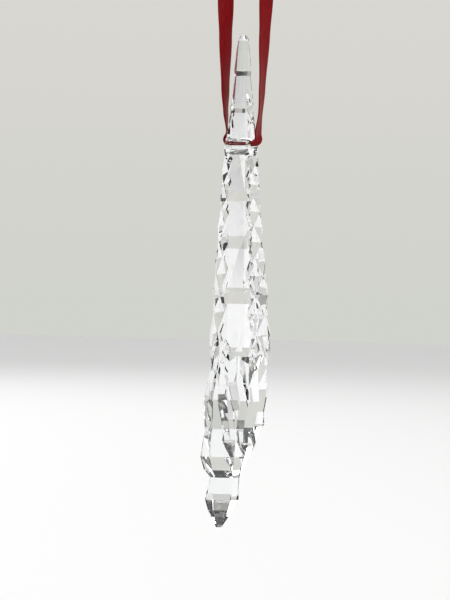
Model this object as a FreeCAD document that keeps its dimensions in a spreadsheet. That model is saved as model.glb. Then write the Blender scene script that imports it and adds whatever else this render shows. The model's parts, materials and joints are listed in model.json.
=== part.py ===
import FreeCAD, Part
import math
import os

import Sketcher
from FreeCAD import Placement, Rotation, Vector

# Hanging icicle ornament: a cut crystal icicle on a loop of satin ribbon.
# Millimetres. +Z is up, the wide faces look along -Y (front) and +Y (back), and the hole runs along Y.
# The origin is where the loop rests on its hook, just under the knot.
# Heights in the tables below are counted from the hole's axis.

# ---------------------------------------------------------------- driving dimensions

DIMENSIONS = {
    "hook_above_hole": 54.5,
    "hole_diameter": 4.4,
    "blade_bevel_angle": 45.0,
    "blade_turn": 0.0,
    "drip_bevel_angle": 50.0,
    "drip_turn": 22.0,
    "ribbon_width": 4.5,
    "ribbon_thickness": 0.45,
    "bore_clearance": 0.2,
    "cupped_angle": 120.0,
    "mouth_offset": 3.6,
    "knot_half_width": 3.2,
    "knot_half_depth": 2.6,
    "knot_half_height": 2.9,
    "knot_height": 57.4,
    "tail_length": 13.0,
    "tail_slant": 2.2,
    "tail_spread_angle": 22.0,
    "tail_offset": 0.5,
}

# Cross-sections of the crystal, from the top down, each a rectangle with four bevelled corners:
# name, height, centre along X, half width, half thickness, and the half width of the flat land at
# the -X edge and of the one at the +X edge. Down to the blade's second swell its bevels nearly meet
# in a ridge at the +X edge.
BLADE = [
    ("blade_tip", 29.8, 0.0, 0.7, 0.7, 0.45, 0.3),
    ("blade_crown", 28.4, 0.0, 1.3, 1.3, 0.85, 0.5),
    ("blade_neck", 25.5, 0.0, 1.7, 1.6, 1.15, 0.5),
    ("blade_upper_swell", 20.6, 0.1, 2.3, 1.9, 1.45, 0.4),
    ("blade_upper_waist", 18.9, 0.0, 2.0, 1.85, 1.45, 0.4),
    ("blade_lower_swell", 10.8, 0.2, 3.4, 2.45, 1.95, 0.5),
    ("blade_lower_waist", 9.0, 0.1, 3.1, 2.45, 2.0, 0.7),
    ("blade_hole", 0.0, 0.1, 4.6, 3.4, 2.9, 1.6),
    ("blade_first_swell", -11.5, 1.0, 6.5, 4.0, 3.3, 0.3),
    ("blade_first_waist", -14.5, 0.9, 6.2, 4.1, 3.35, 0.3),
    ("blade_second_swell", -24.0, 1.3, 7.6, 4.8, 3.7, 0.4),
    ("blade_second_waist", -27.0, 1.0, 7.1, 4.9, 3.75, 1.4),
    ("blade_third_swell", -38.0, 0.7, 7.9, 5.6, 4.1, 4.4),
    ("blade_third_waist", -41.5, 0.6, 7.4, 5.7, 4.05, 4.3),
    ("blade_fourth_swell", -54.0, 0.6, 8.4, 6.5, 4.4, 5.0),
    ("blade_foot", -70.0, 0.6, 4.6, 2.6, 1.6, 1.6),
]
LONG_DRIP = [
    ("long_drip_root", -50.0, -3.6, 3.2, 4.0, 2.0, 2.0),
    ("long_drip_shoulder", -66.5, -7.5, 4.9, 5.9, 3.6, 3.6),
    ("long_drip_first_waist", -74.8, -8.6, 4.4, 5.0, 3.2, 3.2),
    ("long_drip_second_swell", -81.2, -9.8, 4.8, 5.6, 3.3, 3.3),
    ("long_drip_skirt", -84.8, -9.2, 4.2, 4.9, 2.6, 2.6),
    ("long_drip_second_waist", -87.0, -7.7, 3.2, 3.8, 2.3, 2.3),
    ("long_drip_third_swell", -92.6, -9.4, 3.8, 4.4, 2.4, 2.4),
    ("long_drip_cone", -95.6, -10.2, 2.8, 3.2, 1.9, 1.9),
    ("long_drip_tip", -99.9, -11.2, 0.7, 0.7, 0.42, 0.42),
]
MIDDLE_DRIP = [
    ("middle_drip_root", -50.0, 1.0, 3.4, 4.4, 2.2, 2.2),
    ("middle_drip_shoulder", -67.5, 0.6, 4.7, 5.5, 3.2, 3.2),
    ("middle_drip_waist", -74.5, 1.0, 3.5, 4.2, 2.5, 2.5),
    ("middle_drip_swell", -79.0, 1.4, 3.6, 4.4, 2.4, 2.4),
    ("middle_drip_tip", -87.2, 1.0, 0.6, 0.6, 0.36, 0.36),
]
SHORT_DRIP = [
    ("short_drip_root", -50.0, 5.4, 3.2, 4.6, 2.4, 2.4),
    ("short_drip_shoulder", -65.0, 7.0, 4.1, 5.3, 3.1, 3.1),
    ("short_drip_waist", -70.8, 7.6, 3.1, 4.1, 2.4, 2.4),
    ("short_drip_swell", -74.2, 8.0, 3.1, 4.1, 2.3, 2.3),
    ("short_drip_tip", -80.6, 8.0, 0.6, 0.6, 0.36, 0.36),
]

# Diamond cuts. Each wide face has two families of V-grooves that cross on the face's middle line.
# Two pairs cross above the hole, and the pairs below it stand further apart as the blade widens.
CROWN_GROOVE_HEIGHTS = [11.6, 7.2]
GROOVE_COUNT = 7
FIRST_GROOVE_HEIGHT = -6.5
FIRST_GROOVE_PITCH = 6.8
GROOVE_PITCH_GROWTH = 1.12
GROOVE_SLOPE = 0.89
GROOVE_DEPTH_RATIO = 0.13
RIDGE_DEPTH = 0.06
CUTTER_HEIGHT = 2.0

# The ribbon's route from the middle of the hole to the inside of the knot, in a plane across the
# crystal: distance from the crystal's middle plane, height. It bends up round the hole's edge, runs
# straight under the icicle's weight, and closes over a round hook about 12 mm thick.
RIBBON_ROUTE = [
    (0.0, 1.76),
    (4.45, 1.8),
    (4.88, 3.4),
    (5.0, 9.0),
    (5.95, 43.0),
    (6.0, 50.2),
    (4.5, 53.1),
    (0.65, 55.4),
    (0.5, 57.4),
]
ARC_SHARE = 0.45

document = FreeCAD.newDocument("icicle_ornament")
sheet = document.addObject("Spreadsheet::Sheet", "Dimensions")


def size(alias):
    return float(sheet.get(alias))


def fill_sheet():
    """Every driving dimension and every cross-section gets cells with aliases."""
    cells = dict(DIMENSIONS)
    parts = ("level", "centre", "width", "thickness", "near_land", "far_land")
    for name, *values in BLADE + LONG_DRIP + MIDDLE_DRIP + SHORT_DRIP:
        for part, value in zip(parts, values):
            cells[f"{name}_{part}"] = value
    for row, (alias, value) in enumerate(cells.items(), start=1):
        sheet.set(f"A{row}", alias)
        sheet.set(f"B{row}", str(value))
        sheet.setAlias(f"B{row}", alias)
    document.recompute()


# ---------------------------------------------------------------- sketches


def new_sketch(body, name, role, offset=Placement()):
    """A sketch on one of the body's own origin planes."""
    plane = next(feature for feature in body.Origin.OriginFeatures if feature.Role == role)
    sketch = body.newObject("Sketcher::SketchObject", name)
    sketch.AttachmentSupport = [(plane, "")]
    sketch.MapMode = "FlatFace"
    sketch.AttachmentOffset = offset
    return sketch


def draw_outline(sketch, corners):
    """Straight lines from corner to corner, joined end to end."""
    ends = corners[1:] + corners[:1]
    for start, end in zip(corners, ends):
        sketch.addGeometry(Part.LineSegment(Vector(*start, 0), Vector(*end, 0)))
    for index in range(len(corners)):
        following = (index + 1) % len(corners)
        sketch.addConstraint(Sketcher.Constraint("Coincident", index, 2, following, 1))


def hold_corner(sketch, index, corner, formulas=("", "")):
    """Ties a corner to the sketch's origin, by formulas of the sheet's cells where it has them."""
    for kind, value, formula in zip(("DistanceX", "DistanceY"), corner, formulas):
        held = sketch.addConstraint(Sketcher.Constraint(kind, -1, 1, index, 1, value))
        if formula:
            sketch.setExpression(f"Constraints[{held}]", formula)


def draw_section(body, name, kind):
    """One level cross-section of the crystal. kind is blade or drip: each has its own bevel and turn."""
    half_width, half_thickness = size(name + "_width"), size(name + "_thickness")
    near_land, far_land = size(name + "_near_land"), size(name + "_far_land")
    slope = math.tan(math.radians(size(kind + "_bevel_angle")))
    front = [
        (-half_width, -near_land),
        ((half_thickness - near_land) / slope - half_width, -half_thickness),
        (half_width - (half_thickness - far_land) / slope, -half_thickness),
        (half_width, -far_land),
    ]
    back = [(across, -depth) for across, depth in reversed(front)]
    cell = f"Dimensions.{name}"
    near_bevel, far_bevel = (
        f"({cell}_thickness - {cell}_{edge}_land) / tan(Dimensions.{kind}_bevel_angle * 1deg)"
        for edge in ("near", "far")
    )
    formulas = [
        (f"-{cell}_width", f"-{cell}_near_land"),
        (f"{near_bevel} - {cell}_width", f"-{cell}_thickness"),
        (f"{cell}_width - {far_bevel}", f"-{cell}_thickness"),
        (f"{cell}_width", f"-{cell}_far_land"),
    ]
    place = Vector(size(name + "_centre"), 0, size(name + "_level"))
    turn = Rotation(Vector(0, 0, 1), size(kind + "_turn"))
    sketch = new_sketch(body, name, "XY_Plane", Placement(place, turn))
    sketch.setExpression(".AttachmentOffset.Base.x", cell + "_centre")
    sketch.setExpression(".AttachmentOffset.Base.z", cell + "_level")
    draw_outline(sketch, front + back)
    for index, corner in enumerate(front):
        hold_corner(sketch, index, corner, formulas[index])
        mirrored = len(front) + len(back) - 1 - index
        sketch.addConstraint(Sketcher.Constraint("Symmetric", index, 1, mirrored, 1, -1))
    return sketch


def add_loft(body, name, sections, kind):
    """Flat facets from each cross-section to the next."""
    sketches = [draw_section(body, section[0], kind) for section in sections]
    document.recompute()
    loft = body.newObject("PartDesign::AdditiveLoft", name)
    loft.Profile = sketches[0]
    loft.Sections = sketches[1:]
    loft.Ruled = True
    document.recompute()
    return loft


# ---------------------------------------------------------------- crystal icicle


def groove_heights():
    heights = [FIRST_GROOVE_HEIGHT]
    for index in range(GROOVE_COUNT - 1):
        heights.append(heights[-1] - FIRST_GROOVE_PITCH * GROOVE_PITCH_GROWTH**index)
    return heights


def face_taper(name):
    """How far the wide face between the hole and the named section leans from upright."""
    thicker = size(name + "_thickness") - size("blade_hole_thickness")
    return math.atan(thicker / -size(name + "_level"))


def add_groove_family(body, name, side, heights, taper):
    """A saw-toothed cut across the front face. side is 1 where its grooves rise towards +X, or -1."""
    face_up = Vector(0, math.sin(taper), math.cos(taper))
    outward = Vector(0, -math.cos(taper), math.sin(taper))
    lean = math.hypot(1, GROOVE_SLOPE)
    across = (Vector(-side * GROOVE_SLOPE, 0, 0) + face_up) / lean
    base = Vector(0, -size("blade_hole_thickness"), 0)
    offset = Placement(base, Rotation(across, outward, across.cross(outward)))

    valleys = [height / math.cos(taper) / lean for height in heights]
    spaces = [above - below for above, below in zip(valleys, valleys[1:])]
    spaces.append(spaces[-1])
    corners = [(valleys[0] + spaces[0], CUTTER_HEIGHT)]
    for valley, space in zip(valleys, spaces):
        corners.append((valley, -GROOVE_DEPTH_RATIO * space))
        corners.append((valley - space / 2, -RIDGE_DEPTH))
    corners[-1] = (valleys[-1] - spaces[-1], CUTTER_HEIGHT)

    sketch = new_sketch(body, name + "_profile", "XY_Plane", offset)
    draw_outline(sketch, corners)
    for index, corner in enumerate(corners):
        hold_corner(sketch, index, corner)
    document.recompute()
    cut = body.newObject("PartDesign::Pocket", name)
    cut.Profile = sketch
    cut.Type = "ThroughAll"
    cut.SideType = "Symmetric"
    document.recompute()
    return cut


def add_hole(body):
    sketch = new_sketch(body, "hole_circle", "XZ_Plane")
    sketch.addGeometry(Part.Circle(Vector(), Vector(0, 0, 1), size("hole_diameter") / 2))
    sketch.addConstraint(Sketcher.Constraint("Coincident", 0, 3, -1, 1))
    held = sketch.addConstraint(Sketcher.Constraint("Diameter", 0, size("hole_diameter")))
    sketch.setExpression(f"Constraints[{held}]", "Dimensions.hole_diameter")
    document.recompute()
    hole = body.newObject("PartDesign::Pocket", "ribbon_hole")
    hole.Profile = sketch
    hole.Type = "ThroughAll"
    hole.SideType = "Symmetric"
    document.recompute()
    return hole


def make_crystal():
    """The icicle: a tapering blade with diamond cuts, ending in three rippled drips."""
    body = document.addObject("PartDesign::Body", "crystal_icicle")
    blade = add_loft(body, "blade", BLADE, "blade")
    crown_taper, body_taper = face_taper("blade_neck"), face_taper("blade_fourth_swell")
    families = [
        add_groove_family(body, "crown_rising_grooves", 1, CROWN_GROOVE_HEIGHTS, crown_taper),
        add_groove_family(body, "crown_falling_grooves", -1, CROWN_GROOVE_HEIGHTS, crown_taper),
        add_groove_family(body, "rising_grooves", 1, groove_heights(), body_taper),
        add_groove_family(body, "falling_grooves", -1, groove_heights(), body_taper),
    ]
    front = families[-1]
    print(f"front grooves take {blade.Shape.Volume - front.Shape.Volume:.0f} mm3 of {blade.Shape.Volume:.0f}")

    back = body.newObject("PartDesign::Mirrored", "back_grooves")
    back.Originals = families
    middle = next(feature for feature in body.Origin.OriginFeatures if feature.Role == "XZ_Plane")
    back.MirrorPlane = (middle, [""])
    body.Tip = back
    document.recompute()
    print(f"back grooves take {front.Shape.Volume - back.Shape.Volume:.0f} mm3")

    for name, sections in (("long_drip", LONG_DRIP), ("middle_drip", MIDDLE_DRIP), ("short_drip", SHORT_DRIP)):
        drip = add_loft(body, name, sections, "drip")
    hole = add_hole(body)
    print(f"the hole takes {drip.Shape.Volume - hole.Shape.Volume:.0f} mm3")

    # The icicle hangs with its centre of gravity straight below the hole.
    heart = hole.Shape.CenterOfGravity
    plumb = math.degrees(math.atan2(-heart.x, heart.z))
    plumb = (plumb + 90) % 180 - 90
    print(f"centre of gravity {heart.x:.2f}, {heart.z:.2f} mm from the hole; turned {plumb:.2f} degrees")
    body.Placement = Placement(Vector(), Rotation(Vector(0, 1, 0), plumb))
    return body


# ---------------------------------------------------------------- ribbon


def route_wire(points, start):
    """Straight runs joined by tangent arcs as large as their runs allow, from start on the first run."""
    edges, radii = [], []
    for before, corner, after in zip(points, points[1:], points[2:]):
        back, onward = before - corner, after - corner
        turn = math.pi - back.getAngle(onward)
        reach = ARC_SHARE * min(back.Length, onward.Length)
        radius = reach / math.tan(turn / 2)
        back.normalize()
        onward.normalize()
        inside = (back + onward).normalize()
        middle = corner + inside * (radius / math.cos(turn / 2) - radius)
        edges.append(Part.LineSegment(start, corner + back * reach).toShape())
        edges.append(Part.Arc(corner + back * reach, middle, corner + onward * reach).toShape())
        radii.append(radius)
        start = corner + onward * reach
    edges.append(Part.LineSegment(start, points[-1]).toShape())
    return Part.Wire(edges), radii


def make_strand(name, side):
    """One half of the ribbon, cupped in the hole and flat up to the knot. side is -1 in front, 1 behind."""
    mouth = size("mouth_offset")
    points = [Vector(0, side * away, height) for away, height in RIBBON_ROUTE]
    start = points[0] + (points[1] - points[0]) * (mouth / points[1].distanceToPoint(points[0]))
    wire, radii = route_wire(points, start)
    print(name, "bend radii", [round(radius, 1) for radius in radii], "length", round(wire.Length + mouth, 1))
    route = document.addObject("Part::Feature", name + "_route")
    route.Shape = wire

    half_width, half_thickness = size("ribbon_width") / 2, size("ribbon_thickness") / 2
    section = document.addObject("Sketcher::SketchObject", name + "_section")
    section.Placement = Placement(start, Rotation(Vector(1, 0, 0), 90))
    corners = [
        (-half_width, -half_thickness),
        (half_width, -half_thickness),
        (half_width, half_thickness),
        (-half_width, half_thickness),
    ]
    draw_outline(section, corners)
    for index in (0, 2):
        sign = "-" if index == 0 else ""
        formulas = (f"{sign}Dimensions.ribbon_width / 2", f"{sign}Dimensions.ribbon_thickness / 2")
        hold_corner(section, index, corners[index], formulas)
    for line, kind in enumerate(("Horizontal", "Vertical", "Horizontal", "Vertical")):
        section.addConstraint(Sketcher.Constraint(kind, line))
    document.recompute()

    flat = document.addObject("Part::Sweep", name + "_flat")
    flat.Sections = [section]
    flat.Spine = (route, [f"Edge{number + 1}" for number in range(len(wire.Edges))])
    flat.Solid = True
    document.recompute()
    expected = size("ribbon_width") * size("ribbon_thickness") * wire.Length
    print(f"{name} volume {flat.Shape.Volume:.1f}, section times length {expected:.1f}")

    # Inside the hole the ribbon cups against the bore's upper wall.
    gap = "Dimensions.hole_diameter / 2 - Dimensions.bore_clearance"
    shells = []
    for part, radius in (("outer", gap), ("inner", gap + " - Dimensions.ribbon_thickness")):
        shell = document.addObject("Part::Cylinder", f"{name}_{part}_cup")
        shell.setExpression("Radius", radius)
        shell.setExpression("Height", "Dimensions.mouth_offset")
        shell.setExpression("Angle", "Dimensions.cupped_angle" if part == "outer" else "360")
        turn = Rotation(Vector(1, 0, 0), -side * 90)
        upright = Rotation(Vector(0, 0, 1), side * -90 - size("cupped_angle") / 2)
        shell.Placement = Placement(Vector(), turn * upright)
        shells.append(shell)
    cup = document.addObject("Part::Cut", name + "_cup")
    cup.Base, cup.Tool = shells
    strand = document.addObject("Part::Fuse", name)
    strand.Base = flat
    strand.Tool = cup
    document.recompute()
    return strand


def make_knot():
    """The closed outer shape of the overhand knot."""
    knot = document.addObject("Part::Ellipsoid", "ribbon_knot")
    knot.setExpression("Radius1", "Dimensions.knot_half_height")
    knot.setExpression("Radius2", "Dimensions.knot_half_depth")
    knot.setExpression("Radius3", "Dimensions.knot_half_width")
    knot.Placement = Placement(Vector(0, 0, size("knot_height")), Rotation())
    return knot


def make_tail(name, side):
    """A cut end of the ribbon above the knot, with a slanted cut."""
    body = document.addObject("PartDesign::Body", name)
    sketch = new_sketch(body, name + "_outline", "XZ_Plane")
    half_width, length, slant = size("ribbon_width") / 2, size("tail_length"), size("tail_slant")
    corners = [(-half_width, 0), (half_width, 0), (half_width, length - slant), (-half_width, length)]
    half = "Dimensions.ribbon_width / 2"
    draw_outline(sketch, corners)
    hold_corner(sketch, 0, corners[0], ("-" + half, ""))
    hold_corner(sketch, 1, corners[1], (half, ""))
    hold_corner(sketch, 2, corners[2], (half, "Dimensions.tail_length - Dimensions.tail_slant"))
    hold_corner(sketch, 3, corners[3], ("-" + half, "Dimensions.tail_length"))
    document.recompute()
    strip = body.newObject("PartDesign::Pad", name + "_strip")
    strip.Profile = sketch
    strip.SideType = "Symmetric"
    strip.setExpression("Length", "Dimensions.ribbon_thickness")
    foot = Vector(0, side * size("tail_offset"), size("knot_height"))
    body.Placement = Placement(foot, Rotation(Vector(1, 0, 0), -side * size("tail_spread_angle")))
    document.recompute()
    return body


# ---------------------------------------------------------------- assembly and files


def check_objects():
    for item in document.Objects:
        wrong = [state for state in item.State if state in ("Invalid", "Error")]
        if wrong:
            raise RuntimeError(f"{item.Name} is {wrong}")


def write_parts(nodes):
    os.makedirs("parts", exist_ok=True)
    for node in nodes:
        shape = node.Shape.copy()
        shape.Placement = Placement(Vector(0, 0, -size("hook_above_hole")), Rotation()) * shape.Placement
        if shape.isNull() or not shape.isValid() or len(shape.Solids) != 1:
            raise RuntimeError(f"{node.Label} is not one valid solid")
        box = shape.BoundBox
        print(f"{node.Label}: {shape.Volume:.1f} mm3, z {box.ZMin:.1f} to {box.ZMax:.1f}")
        shape.exportStep(f"parts/{node.Label}.step")


fill_sheet()
pieces = [
    make_crystal(),
    make_strand("ribbon_front", -1),
    make_strand("ribbon_back", 1),
    make_knot(),
    make_tail("ribbon_tail_front", -1),
    make_tail("ribbon_tail_back", 1),
]
document.recompute()
check_objects()
write_parts(pieces)
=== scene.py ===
import json
import math

import bmesh
import bpy
from mathutils import Matrix, Vector


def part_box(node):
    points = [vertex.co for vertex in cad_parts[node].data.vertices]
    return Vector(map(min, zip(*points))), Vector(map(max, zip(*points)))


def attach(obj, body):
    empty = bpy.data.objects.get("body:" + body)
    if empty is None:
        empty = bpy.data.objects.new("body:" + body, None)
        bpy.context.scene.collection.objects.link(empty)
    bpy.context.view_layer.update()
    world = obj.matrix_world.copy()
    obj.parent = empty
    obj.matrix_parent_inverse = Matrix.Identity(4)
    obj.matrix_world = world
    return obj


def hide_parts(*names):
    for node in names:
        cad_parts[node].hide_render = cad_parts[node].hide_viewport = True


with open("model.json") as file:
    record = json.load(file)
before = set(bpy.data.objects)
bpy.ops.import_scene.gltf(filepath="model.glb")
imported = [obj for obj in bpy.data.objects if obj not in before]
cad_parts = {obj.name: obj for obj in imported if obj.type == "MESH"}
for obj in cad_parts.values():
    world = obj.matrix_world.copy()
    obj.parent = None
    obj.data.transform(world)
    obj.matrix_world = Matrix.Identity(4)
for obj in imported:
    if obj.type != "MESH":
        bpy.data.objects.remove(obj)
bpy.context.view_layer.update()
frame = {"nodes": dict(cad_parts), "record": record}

# Looks of the hanging icicle ornament: cut crystal on a knotted loop of satin ribbon.
# Everything is in metres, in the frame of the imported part: +Z up, the hole along Y,
# the origin where the loop rests on its hook.

MM = 0.001
HOLE = Vector(frame["record"]["behaviour"]["joints"][0]["pos_m"])

# Ribbon
WIDTH = 4.5 * MM
THICKNESS = 0.4 * MM
# The route's points from the middle of the hole to the inside of the knot: distance from the
# crystal's middle plane, height above the hole's axis.
ROUTE = [
    (0.0, 0.00176),
    (0.0024, 0.00178),
    (0.0038, 0.0018),
    (0.0043, 0.0034),
    (0.00492, 0.009),
    (0.0052, 0.0146),
    (0.0057, 0.0358),
    (0.00595, 0.043),
    (0.006, 0.0502),
    (0.0045, 0.0531),
    (0.00065, 0.0554),
    (0.0005, 0.0574),
]
# How the two halves twist as they rise: height above the hole in millimetres, angle in degrees.
FRONT_TWISTS = [(-9, 0), (2.5, 0), (8.7, 11), (16, 3), (30, -15), (40, -30), (51, 0)]
BACK_TWISTS = [(-9, 0), (1.8, 0), (4.7, 21), (9.5, 9), (16, -3), (30, -24), (40, -47), (51, 0)]
CUP_RADIUS = 1.76 * MM
RIBS = 14  # steps across the ribbon

# Knot and tails, in millimetres
WRAP_TURNS = 1.55
WRAP_THICKNESS = 0.36
WRAP_ROWS_PER_TURN = 48
CORE_HEIGHT = 5.0
CORE_HALF_WIDTH = 1.55
CORE_HALF_DEPTH = 2.05
CORE_ROWS = 14
CORE_SIDES = 28
TAIL_LENGTH = 13.0
TAIL_SLANT = 2.2  # how much further one edge of the cut end reaches than the other
TAIL_NARROW = 2.6  # its width where it leaves the knot
TAIL_STEPS = 36

# Crystal
WELD_DISTANCE = 0.0005 * MM
POLISHED_EDGE = 0.12 * MM
SHARPEST_UNPOLISHED = math.radians(24)

# Studio
FLOOR_RADIUS = 4.0
FLOOR_HEIGHT = -0.2
ORNAMENT_MIDDLE = (0, 0, -0.09)
# The room by height, as a share of the way from straight down to straight up, and the same all
# round: a pale grey wall, which is dim above, and a bright ceiling. The floor hides what is below.
ROOM = [
    (0.5, (0.64, 0.65, 0.61)),
    (0.6, (0.7, 0.68, 0.64)),
    (0.65, (0.04, 0.04, 0.04)),
    (0.8, (0.04, 0.04, 0.04)),
    (0.85, (1.5, 1.5, 1.5)),
]


# ---------------------------------------------------------------- camera


def aim_camera():
    """Level with the icicle's middle, a few degrees round from its narrow edge."""
    azimuth = math.radians(-66)
    distance = 0.45
    seen_height = 0.160
    roll = math.radians(1.4)
    away = Vector((math.sin(azimuth), -math.cos(azimuth), 0))
    rightward = Vector((math.cos(azimuth), math.sin(azimuth), 0))
    target = Vector((0, 0, HOLE.z - 0.0407)) - rightward * 0.0036
    data = bpy.data.cameras.new("camera")
    data.sensor_fit = "VERTICAL"
    data.sensor_height = 36
    data.lens = data.sensor_height * distance / seen_height
    data.clip_start = 0.01
    data.clip_end = 20
    camera = bpy.data.objects.new("camera", data)
    bpy.context.scene.collection.objects.link(camera)
    upward = Vector((0, 0, 1)) * math.cos(roll) + rightward * math.sin(-roll)
    sideways = upward.cross(away).normalized()
    turned = Matrix((sideways, away.cross(sideways), away)).transposed()
    camera.matrix_world = Matrix.Translation(target + away * distance) @ turned.to_4x4()
    bpy.context.scene.camera = camera


# ---------------------------------------------------------------- helpers


def smooth(value, low, high):
    """0 below low, 1 above high, and a soft step between them."""
    share = min(max((value - low) / (high - low), 0.0), 1.0)
    return share * share * (3 - 2 * share)


def link(name, mesh, body):
    """An object of that mesh, riding on a body."""
    piece = bpy.data.objects.new(name, mesh)
    bpy.context.scene.collection.objects.link(piece)
    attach(piece, body)
    return piece


def spline_points(points, fineness=16):
    """Points along a smooth NURBS line that has the given control points."""
    data = bpy.data.curves.new("line", "CURVE")
    data.dimensions = "3D"
    data.resolution_u = fineness
    line = data.splines.new("NURBS")
    line.points.add(len(points) - 1)
    for held, point in zip(line.points, points):
        held.co = (*point, 1)
    line.order_u = 3
    line.use_endpoint_u = True
    holder = bpy.data.objects.new("line", data)
    mesh = bpy.data.meshes.new_from_object(holder)
    found = [vertex.co.copy() for vertex in mesh.vertices]
    bpy.data.objects.remove(holder)
    bpy.data.curves.remove(data)
    bpy.data.meshes.remove(mesh)
    return found


def lengths_along(points):
    """How far along the line each point is."""
    total, found = 0.0, [0.0]
    for before, after in zip(points, points[1:]):
        total += (after - before).length
        found.append(total)
    return found


def strip_mesh(name, rows, close=False):
    """A closed thin strip. Each row holds the strip's cross-section as a loop of points with their
    places across and along the ribbon, which become its UV map."""
    mesh = bpy.data.meshes.new(name)
    built = bmesh.new()
    chart = built.loops.layers.uv.new("ribbon")
    rings = [[built.verts.new(point) for point, _ in row] for row in rows]
    places = [[place for _, place in row] for row in rows]
    count = len(rings[0])
    spans = len(rings) if close else len(rings) - 1
    for index in range(spans):
        following = (index + 1) % len(rings)
        for side in range(count):
            beside = (side + 1) % count
            corners = [(index, side), (index, beside), (following, beside), (following, side)]
            face = built.faces.new([rings[row][column] for row, column in corners])
            face.smooth = True
            for loop, (row, column) in zip(face.loops, corners):
                loop[chart].uv = places[row][column]
    if not close:
        for row, order in ((0, 1), (len(rings) - 1, -1)):
            face = built.faces.new(rings[row][::order])
            for loop in face.loops:
                column = rings[row].index(loop.vert)
                loop[chart].uv = places[row][column]
    bmesh.ops.recalc_face_normals(built, faces=built.faces)
    built.to_mesh(mesh)
    built.free()
    return mesh


def cross_section(centre, across, outward, along, bend=0.0, width=WIDTH, thickness=THICKNESS):
    """One row of a strip. bend is its curvature across, in 1/m: the edges fall away from outward."""
    row = []
    for face in (1, -1):
        for step in range(RIBS + 1):
            share = face * (step / RIBS * 2 - 1)
            place = share * width / 2
            edge = 1 - smooth(abs(share), 0.93, 1.0) * 0.45
            lift = face * thickness / 2 * edge
            if abs(bend) > 1:
                angle = place * bend
                radius = 1 / bend + lift
                side, fall = math.sin(angle) * radius, (math.cos(angle) - 1) / bend + lift * math.cos(angle)
            else:
                side, fall = place, lift
            point = centre + across * side + outward * fall
            row.append((point, (place / MM, along / MM)))
    return row


# ---------------------------------------------------------------- materials


def new_material(name):
    """A new material, with its nodes, their links and its shader."""
    material = bpy.data.materials.new(name)
    material.use_nodes = True
    nodes, links = material.node_tree.nodes, material.node_tree.links
    return material, nodes, links, nodes["Principled BSDF"]


def satin():
    """Dark red satin: fine weft lines across the ribbon, soft folds of colour, lighter woven edges."""
    material, nodes, links, shader = new_material("satin_ribbon")
    chart = nodes.new("ShaderNodeUVMap")
    chart.uv_map = "ribbon"
    split = nodes.new("ShaderNodeSeparateXYZ")
    links.new(chart.outputs["UV"], split.inputs[0])

    weft = nodes.new("ShaderNodeTexWave")
    weft.bands_direction = "Y"
    weft.inputs["Scale"].default_value = 2.6
    weft.inputs["Distortion"].default_value = 1.2
    weft.inputs["Detail"].default_value = 3
    weft.inputs["Detail Scale"].default_value = 2
    links.new(chart.outputs["UV"], weft.inputs["Vector"])

    stretch = nodes.new("ShaderNodeMapping")
    stretch.inputs["Scale"].default_value = (2.4, 0.22, 1)
    links.new(chart.outputs["UV"], stretch.inputs["Vector"])
    floats = nodes.new("ShaderNodeTexNoise")
    floats.inputs["Scale"].default_value = 2.2
    floats.inputs["Detail"].default_value = 5
    links.new(stretch.outputs["Vector"], floats.inputs["Vector"])

    tone = nodes.new("ShaderNodeValToRGB")
    tone.color_ramp.elements[0].position = 0.3
    tone.color_ramp.elements[0].color = (0.145, 0.0013, 0.003, 1)
    tone.color_ramp.elements[1].position = 0.72
    tone.color_ramp.elements[1].color = (0.345, 0.005, 0.01, 1)
    links.new(floats.outputs["Fac"], tone.inputs["Fac"])

    # The woven edges, by the distance from the ribbon's middle in millimetres.
    distance = nodes.new("ShaderNodeMath")
    distance.operation = "ABSOLUTE"
    links.new(split.outputs["X"], distance.inputs[0])
    selvage = nodes.new("ShaderNodeMapRange")
    selvage.inputs["From Min"].default_value = 1.8
    selvage.inputs["From Max"].default_value = 2.15
    links.new(distance.outputs[0], selvage.inputs["Value"])
    edging = nodes.new("ShaderNodeMixRGB")
    edging.inputs["Color2"].default_value = (0.215, 0.0032, 0.0064, 1)
    links.new(selvage.outputs["Result"], edging.inputs["Fac"])
    links.new(tone.outputs["Color"], edging.inputs["Color1"])
    links.new(edging.outputs["Color"], shader.inputs["Base Color"])

    gloss = nodes.new("ShaderNodeMapRange")
    gloss.inputs["To Min"].default_value = 0.34
    gloss.inputs["To Max"].default_value = 0.52
    links.new(floats.outputs["Fac"], gloss.inputs["Value"])
    links.new(gloss.outputs["Result"], shader.inputs["Roughness"])
    shader.inputs["Specular IOR Level"].default_value = 0.14
    shader.inputs["Sheen Weight"].default_value = 0.04
    shader.inputs["Sheen Roughness"].default_value = 0.35
    shader.inputs["Sheen Tint"].default_value = (0.9, 0.25, 0.25, 1)

    bump = nodes.new("ShaderNodeBump")
    bump.inputs["Strength"].default_value = 0.28
    bump.inputs["Distance"].default_value = 0.04 * MM
    links.new(weft.outputs["Fac"], bump.inputs["Height"])
    waves = nodes.new("ShaderNodeBump")
    waves.inputs["Strength"].default_value = 0.35
    waves.inputs["Distance"].default_value = 0.12 * MM
    links.new(floats.outputs["Fac"], waves.inputs["Height"])
    links.new(bump.outputs["Normal"], waves.inputs["Normal"])
    links.new(waves.outputs["Normal"], shader.inputs["Normal"])
    return material


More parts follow.
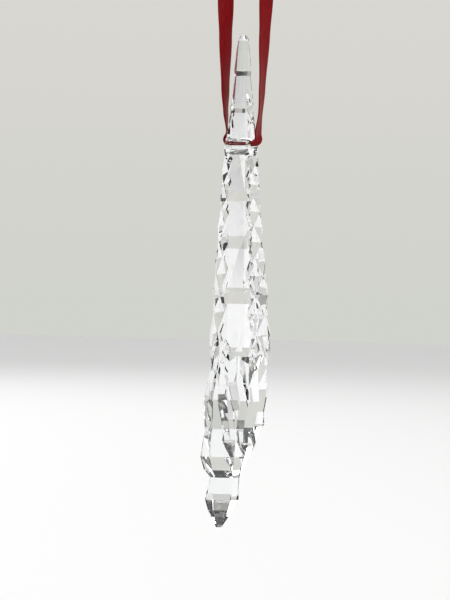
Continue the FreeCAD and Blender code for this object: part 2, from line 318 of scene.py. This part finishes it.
def crystal_glass():
    """Clear polished crystal, with the faint waviness that polishing leaves on its facets."""
    material, nodes, links, shader = new_material("cut_crystal")
    shader.inputs["Transmission Weight"].default_value = 1
    shader.inputs["IOR"].default_value = 1.54
    shader.inputs["Base Color"].default_value = (0.985, 0.993, 0.995, 1)
    place = nodes.new("ShaderNodeTexCoord")
    haze = nodes.new("ShaderNodeTexNoise")
    haze.inputs["Scale"].default_value = 160
    haze.inputs["Detail"].default_value = 3
    links.new(place.outputs["Object"], haze.inputs["Vector"])
    polish = nodes.new("ShaderNodeMapRange")
    polish.inputs["From Min"].default_value = 0.35
    polish.inputs["From Max"].default_value = 0.8
    polish.inputs["To Min"].default_value = 0.0
    polish.inputs["To Max"].default_value = 0.035
    links.new(haze.outputs["Fac"], polish.inputs["Value"])
    links.new(polish.outputs["Result"], shader.inputs["Roughness"])
    ripple = nodes.new("ShaderNodeTexNoise")
    ripple.inputs["Scale"].default_value = 420
    ripple.inputs["Detail"].default_value = 2
    links.new(place.outputs["Object"], ripple.inputs["Vector"])
    bump = nodes.new("ShaderNodeBump")
    bump.inputs["Strength"].default_value = 0.12
    bump.inputs["Distance"].default_value = 0.05 * MM
    links.new(ripple.outputs["Fac"], bump.inputs["Height"])
    links.new(bump.outputs["Normal"], shader.inputs["Normal"])
    return material


# ---------------------------------------------------------------- ribbon


def twist_angle(height, twists):
    """How far the flat ribbon has turned about its own line at a height above the hole."""
    place = height / MM
    for (low, before), (high, after) in zip(twists, twists[1:]):
        if place < high:
            return math.radians(before + (after - before) * smooth(place, low, high))
    return 0.0


def cup_bend(height, away):
    """The ribbon is cupped in the hole and opens out flat just above it, with a faint fold."""
    opened = smooth(height - 1.7 * MM + max(away - 3.2 * MM, 0), 0.2 * MM, 3.6 * MM)
    return (1 - opened) / CUP_RADIUS + opened * 60


def make_strand(name, side, twists):
    """One half of the ribbon, from the middle of the hole to the knot, and the line it follows. side
    is -1 in front, 1 behind."""
    route = [HOLE + Vector((0, side * away, height)) for away, height in ROUTE]
    line = spline_points(route)
    along = lengths_along(line)
    rows = []
    for index, point in enumerate(line):
        before, after = line[max(index - 1, 0)], line[min(index + 1, len(line) - 1)]
        onward = (after - before).normalized()
        level = Vector((1, 0, 0))
        outward = (level.cross(onward) * side).normalized()
        height, away = (point - HOLE).z, abs(point.y)
        turned = Matrix.Rotation(twist_angle(height, twists), 3, Vector((0, 0, 1)))
        bend = cup_bend(height, away)
        rows.append(cross_section(point, turned @ level, turned @ outward, side * along[index], bend))
    piece = link(name, strip_mesh(name, rows), "ribbon")
    return piece, line


def make_knot(centre):
    """The two ribbon ends tied together in an overhand knot: a doubled, creased band wound one and a
    half times round them, over a gathered core."""
    start = math.radians(150)
    pieces = []
    for layer, (reach, shift) in enumerate(((1.0, 0.0), (0.86, 0.55))):
        rows = []
        count = int(WRAP_ROWS_PER_TURN * WRAP_TURNS)
        for index in range(count + 1):
            share = index / count
            angle = start + share * WRAP_TURNS * math.tau
            ends = smooth(share, 0, 0.16) * (1 - smooth(share, 0.86, 1.0))
            wide = (1.05 + 1.35 * ends) * reach
            deep = (0.85 + 1.2 * ends) * reach
            slope = math.radians(-24) * math.sin(angle - math.radians(40))
            climb = (share - 0.5) * 1.5 + shift * 0.6
            radial = Vector((math.cos(angle) * deep, math.sin(angle) * wide, 0))
            point = centre + (radial + Vector((0, 0, climb + radial.length * math.sin(slope)))) * MM
            outward = Vector((math.cos(angle) / deep, math.sin(angle) / wide, 0)).normalized()
            onward = Vector((-math.sin(angle) * deep, math.cos(angle) * wide, 0)).normalized()
            across = outward.cross(onward)
            lean = Matrix.Rotation(slope, 3, outward)
            width = (3.3 - 0.9 * (1 - ends) + 0.25 * math.sin(angle * 2 + layer)) * MM
            along = index * 0.35 * MM
            row = cross_section(point, lean @ across, outward, along, 210, width, WRAP_THICKNESS * MM)
            creased = []
            for place, chart in row:
                across_share = chart[0] * MM / width
                crease = math.sin(across_share * 17 + angle * 0.6 + layer) * 0.09 * math.cos(across_share * 3)
                creased.append((place + outward * crease * MM, chart))
            rows.append(creased)
        pieces.append(strip_mesh("wrap", rows))

    core_rows = []
    for index in range(CORE_ROWS + 1):
        share = index / CORE_ROWS
        fullness = math.sin(math.pi * min(max(share * 0.86 + 0.07, 0), 1)) ** 0.6
        level = (share - 0.5) * CORE_HEIGHT
        row = []
        for step in range(CORE_SIDES):
            angle = step / CORE_SIDES * math.tau
            fold = 1 + 0.13 * math.sin(angle * 5 + share * 2.2) + 0.06 * math.sin(angle * 9 - share * 4)
            outline = Vector((math.cos(angle) * CORE_HALF_WIDTH, math.sin(angle) * CORE_HALF_DEPTH, 0))
            point = outline * fullness * fold
            row.append((centre + (point + Vector((0, 0, level))) * MM, (step * 0.3, level)))
        core_rows.append(row)
    pieces.append(strip_mesh("core", core_rows))

    merged = bmesh.new()
    for mesh in pieces:
        merged.from_mesh(mesh)
        bpy.data.meshes.remove(mesh)
    mesh = bpy.data.meshes.new("ribbon_knot_tied")
    merged.to_mesh(mesh)
    merged.free()
    return link("ribbon_knot_tied", mesh, "ribbon")


def make_tail(name, side, centre):
    """One free end of the ribbon: it leaves the knot, fans out and is cut on a slant."""
    rows = []
    lean = math.radians(10)
    point = centre + Vector((side * 0.2, side * 0.5, 0.6)) * MM
    for index in range(TAIL_STEPS + 1):
        share = index / TAIL_STEPS
        drift = side * 0.10 * math.sin(share * 2.6)
        onward = Vector((drift, side * math.sin(lean), math.cos(lean))).normalized()
        turned = Matrix.Rotation(side * math.radians(16 + 26 * share), 3, onward)
        across = turned @ Vector((1, 0, 0))
        across = (across - onward * across.dot(onward)).normalized()
        outward = across.cross(onward) * side
        opened = smooth(share, 0.02, 0.4)
        width = TAIL_NARROW * MM + (WIDTH - TAIL_NARROW * MM) * opened
        bend = 420 * (1 - opened) + 55 + 40 * math.sin(share * 5)
        row = cross_section(point, across, outward, share * TAIL_LENGTH * MM, bend, width)
        cut = smooth(share, 0.7, 1.0) * TAIL_SLANT / 2
        reach = onward * cut * MM / (WIDTH / 2 / MM)
        rows.append([(place + reach * chart[0], chart) for place, chart in row])
        point = point + onward * (TAIL_LENGTH - TAIL_SLANT / 2) / TAIL_STEPS * MM
        lean += math.radians(20) / TAIL_STEPS
    return link(name, strip_mesh(name, rows), "ribbon")


# ---------------------------------------------------------------- studio


def make_floor():
    """A plain pale table top under the ornament."""
    material, nodes, links, shader = new_material("pale_floor")
    grain = nodes.new("ShaderNodeTexNoise")
    grain.inputs["Scale"].default_value = 3
    tone = nodes.new("ShaderNodeMapRange")
    tone.inputs["To Min"].default_value = 0.66
    tone.inputs["To Max"].default_value = 0.7
    links.new(grain.outputs["Fac"], tone.inputs["Value"])
    links.new(tone.outputs["Result"], shader.inputs["Base Color"])
    shader.inputs["Roughness"].default_value = 0.75
    mesh = bpy.data.meshes.new("floor")
    built = bmesh.new()
    bmesh.ops.create_circle(built, cap_ends=True, segments=96, radius=FLOOR_RADIUS)
    bmesh.ops.translate(built, verts=built.verts, vec=(0, 0, FLOOR_HEIGHT))
    built.to_mesh(mesh)
    built.free()
    mesh.materials.append(material)
    floor = bpy.data.objects.new("floor", mesh)
    bpy.context.scene.collection.objects.link(floor)


def soft_light(name, place, size, power):
    """A square lamp of that side in metres and power in watts, turned towards the ornament."""
    data = bpy.data.lights.new(name, "AREA")
    data.size = size
    data.energy = power
    lamp = bpy.data.objects.new(name, data)
    bpy.context.scene.collection.objects.link(lamp)
    lamp.location = place
    lamp.rotation_mode = "QUATERNION"
    lamp.rotation_quaternion = (Vector(ORNAMENT_MIDDLE) - Vector(place)).to_track_quat("-Z", "Y")


def fill_ramp(ramp, stops):
    """Give a colour ramp its stops, as (position, colour). The first and last take its own two."""
    ramp.elements[0].position, ramp.elements[0].color = stops[0][0], (*stops[0][1], 1)
    ramp.elements[1].position, ramp.elements[1].color = stops[-1][0], (*stops[-1][1], 1)
    for position, colour in stops[1:-1]:
        ramp.elements.new(position).color = (*colour, 1)


def make_studio():
    """A plain pale room, and two large soft lights."""
    world = bpy.data.worlds.new("studio")
    bpy.context.scene.world = world
    world.use_nodes = True
    nodes, links = world.node_tree.nodes, world.node_tree.links
    place = nodes.new("ShaderNodeTexCoord")
    split = nodes.new("ShaderNodeSeparateXYZ")
    links.new(place.outputs["Generated"], split.inputs[0])
    height = nodes.new("ShaderNodeMapRange")
    height.inputs["From Min"].default_value = -1
    links.new(split.outputs["Z"], height.inputs["Value"])
    room = nodes.new("ShaderNodeValToRGB")
    fill_ramp(room.color_ramp, ROOM)
    links.new(height.outputs["Result"], room.inputs["Fac"])
    links.new(room.outputs["Color"], nodes["Background"].inputs["Color"])

    soft_light("window", (0.9, 1.1, 0.9), size=1.0, power=9)
    soft_light("ceiling", (-0.3, -0.2, 1.4), size=0.9, power=11)
    view = bpy.context.scene.view_settings
    view.view_transform = "Standard"
    view.look = "None"


# ---------------------------------------------------------------- the whole


def main():
    aim_camera()

    strands = [
        make_strand("ribbon_front_strand", -1, FRONT_TWISTS),
        make_strand("ribbon_back_strand", 1, BACK_TWISTS),
    ]
    low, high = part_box("ribbon_knot")
    centre = (low + high) / 2
    knot = make_knot(centre)
    tails = [make_tail("ribbon_front_tail", -1, centre), make_tail("ribbon_back_tail", 1, centre)]

    fabric = satin()
    for piece in [knot] + tails + [strand for strand, _ in strands]:
        piece.data.materials.append(fabric)
    for (strand, line), tail, side, node in zip(strands, tails, (-1, 1), ("front", "back")):
        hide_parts("ribbon_" + node)
        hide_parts("ribbon_tail_" + node)
    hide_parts("ribbon_knot")

    crystal = frame["nodes"]["crystal_icicle"]
    crystal.data.materials.clear()
    crystal.data.materials.append(crystal_glass())
    weld = crystal.modifiers.new("weld", "WELD")
    weld.merge_threshold = WELD_DISTANCE
    edges = crystal.modifiers.new("polished_edges", "BEVEL")
    edges.width = POLISHED_EDGE
    edges.segments = 2
    edges.limit_method = "ANGLE"
    edges.angle_limit = SHARPEST_UNPOLISHED

    make_floor()
    make_studio()


main()
bpy.context.view_layer.update()
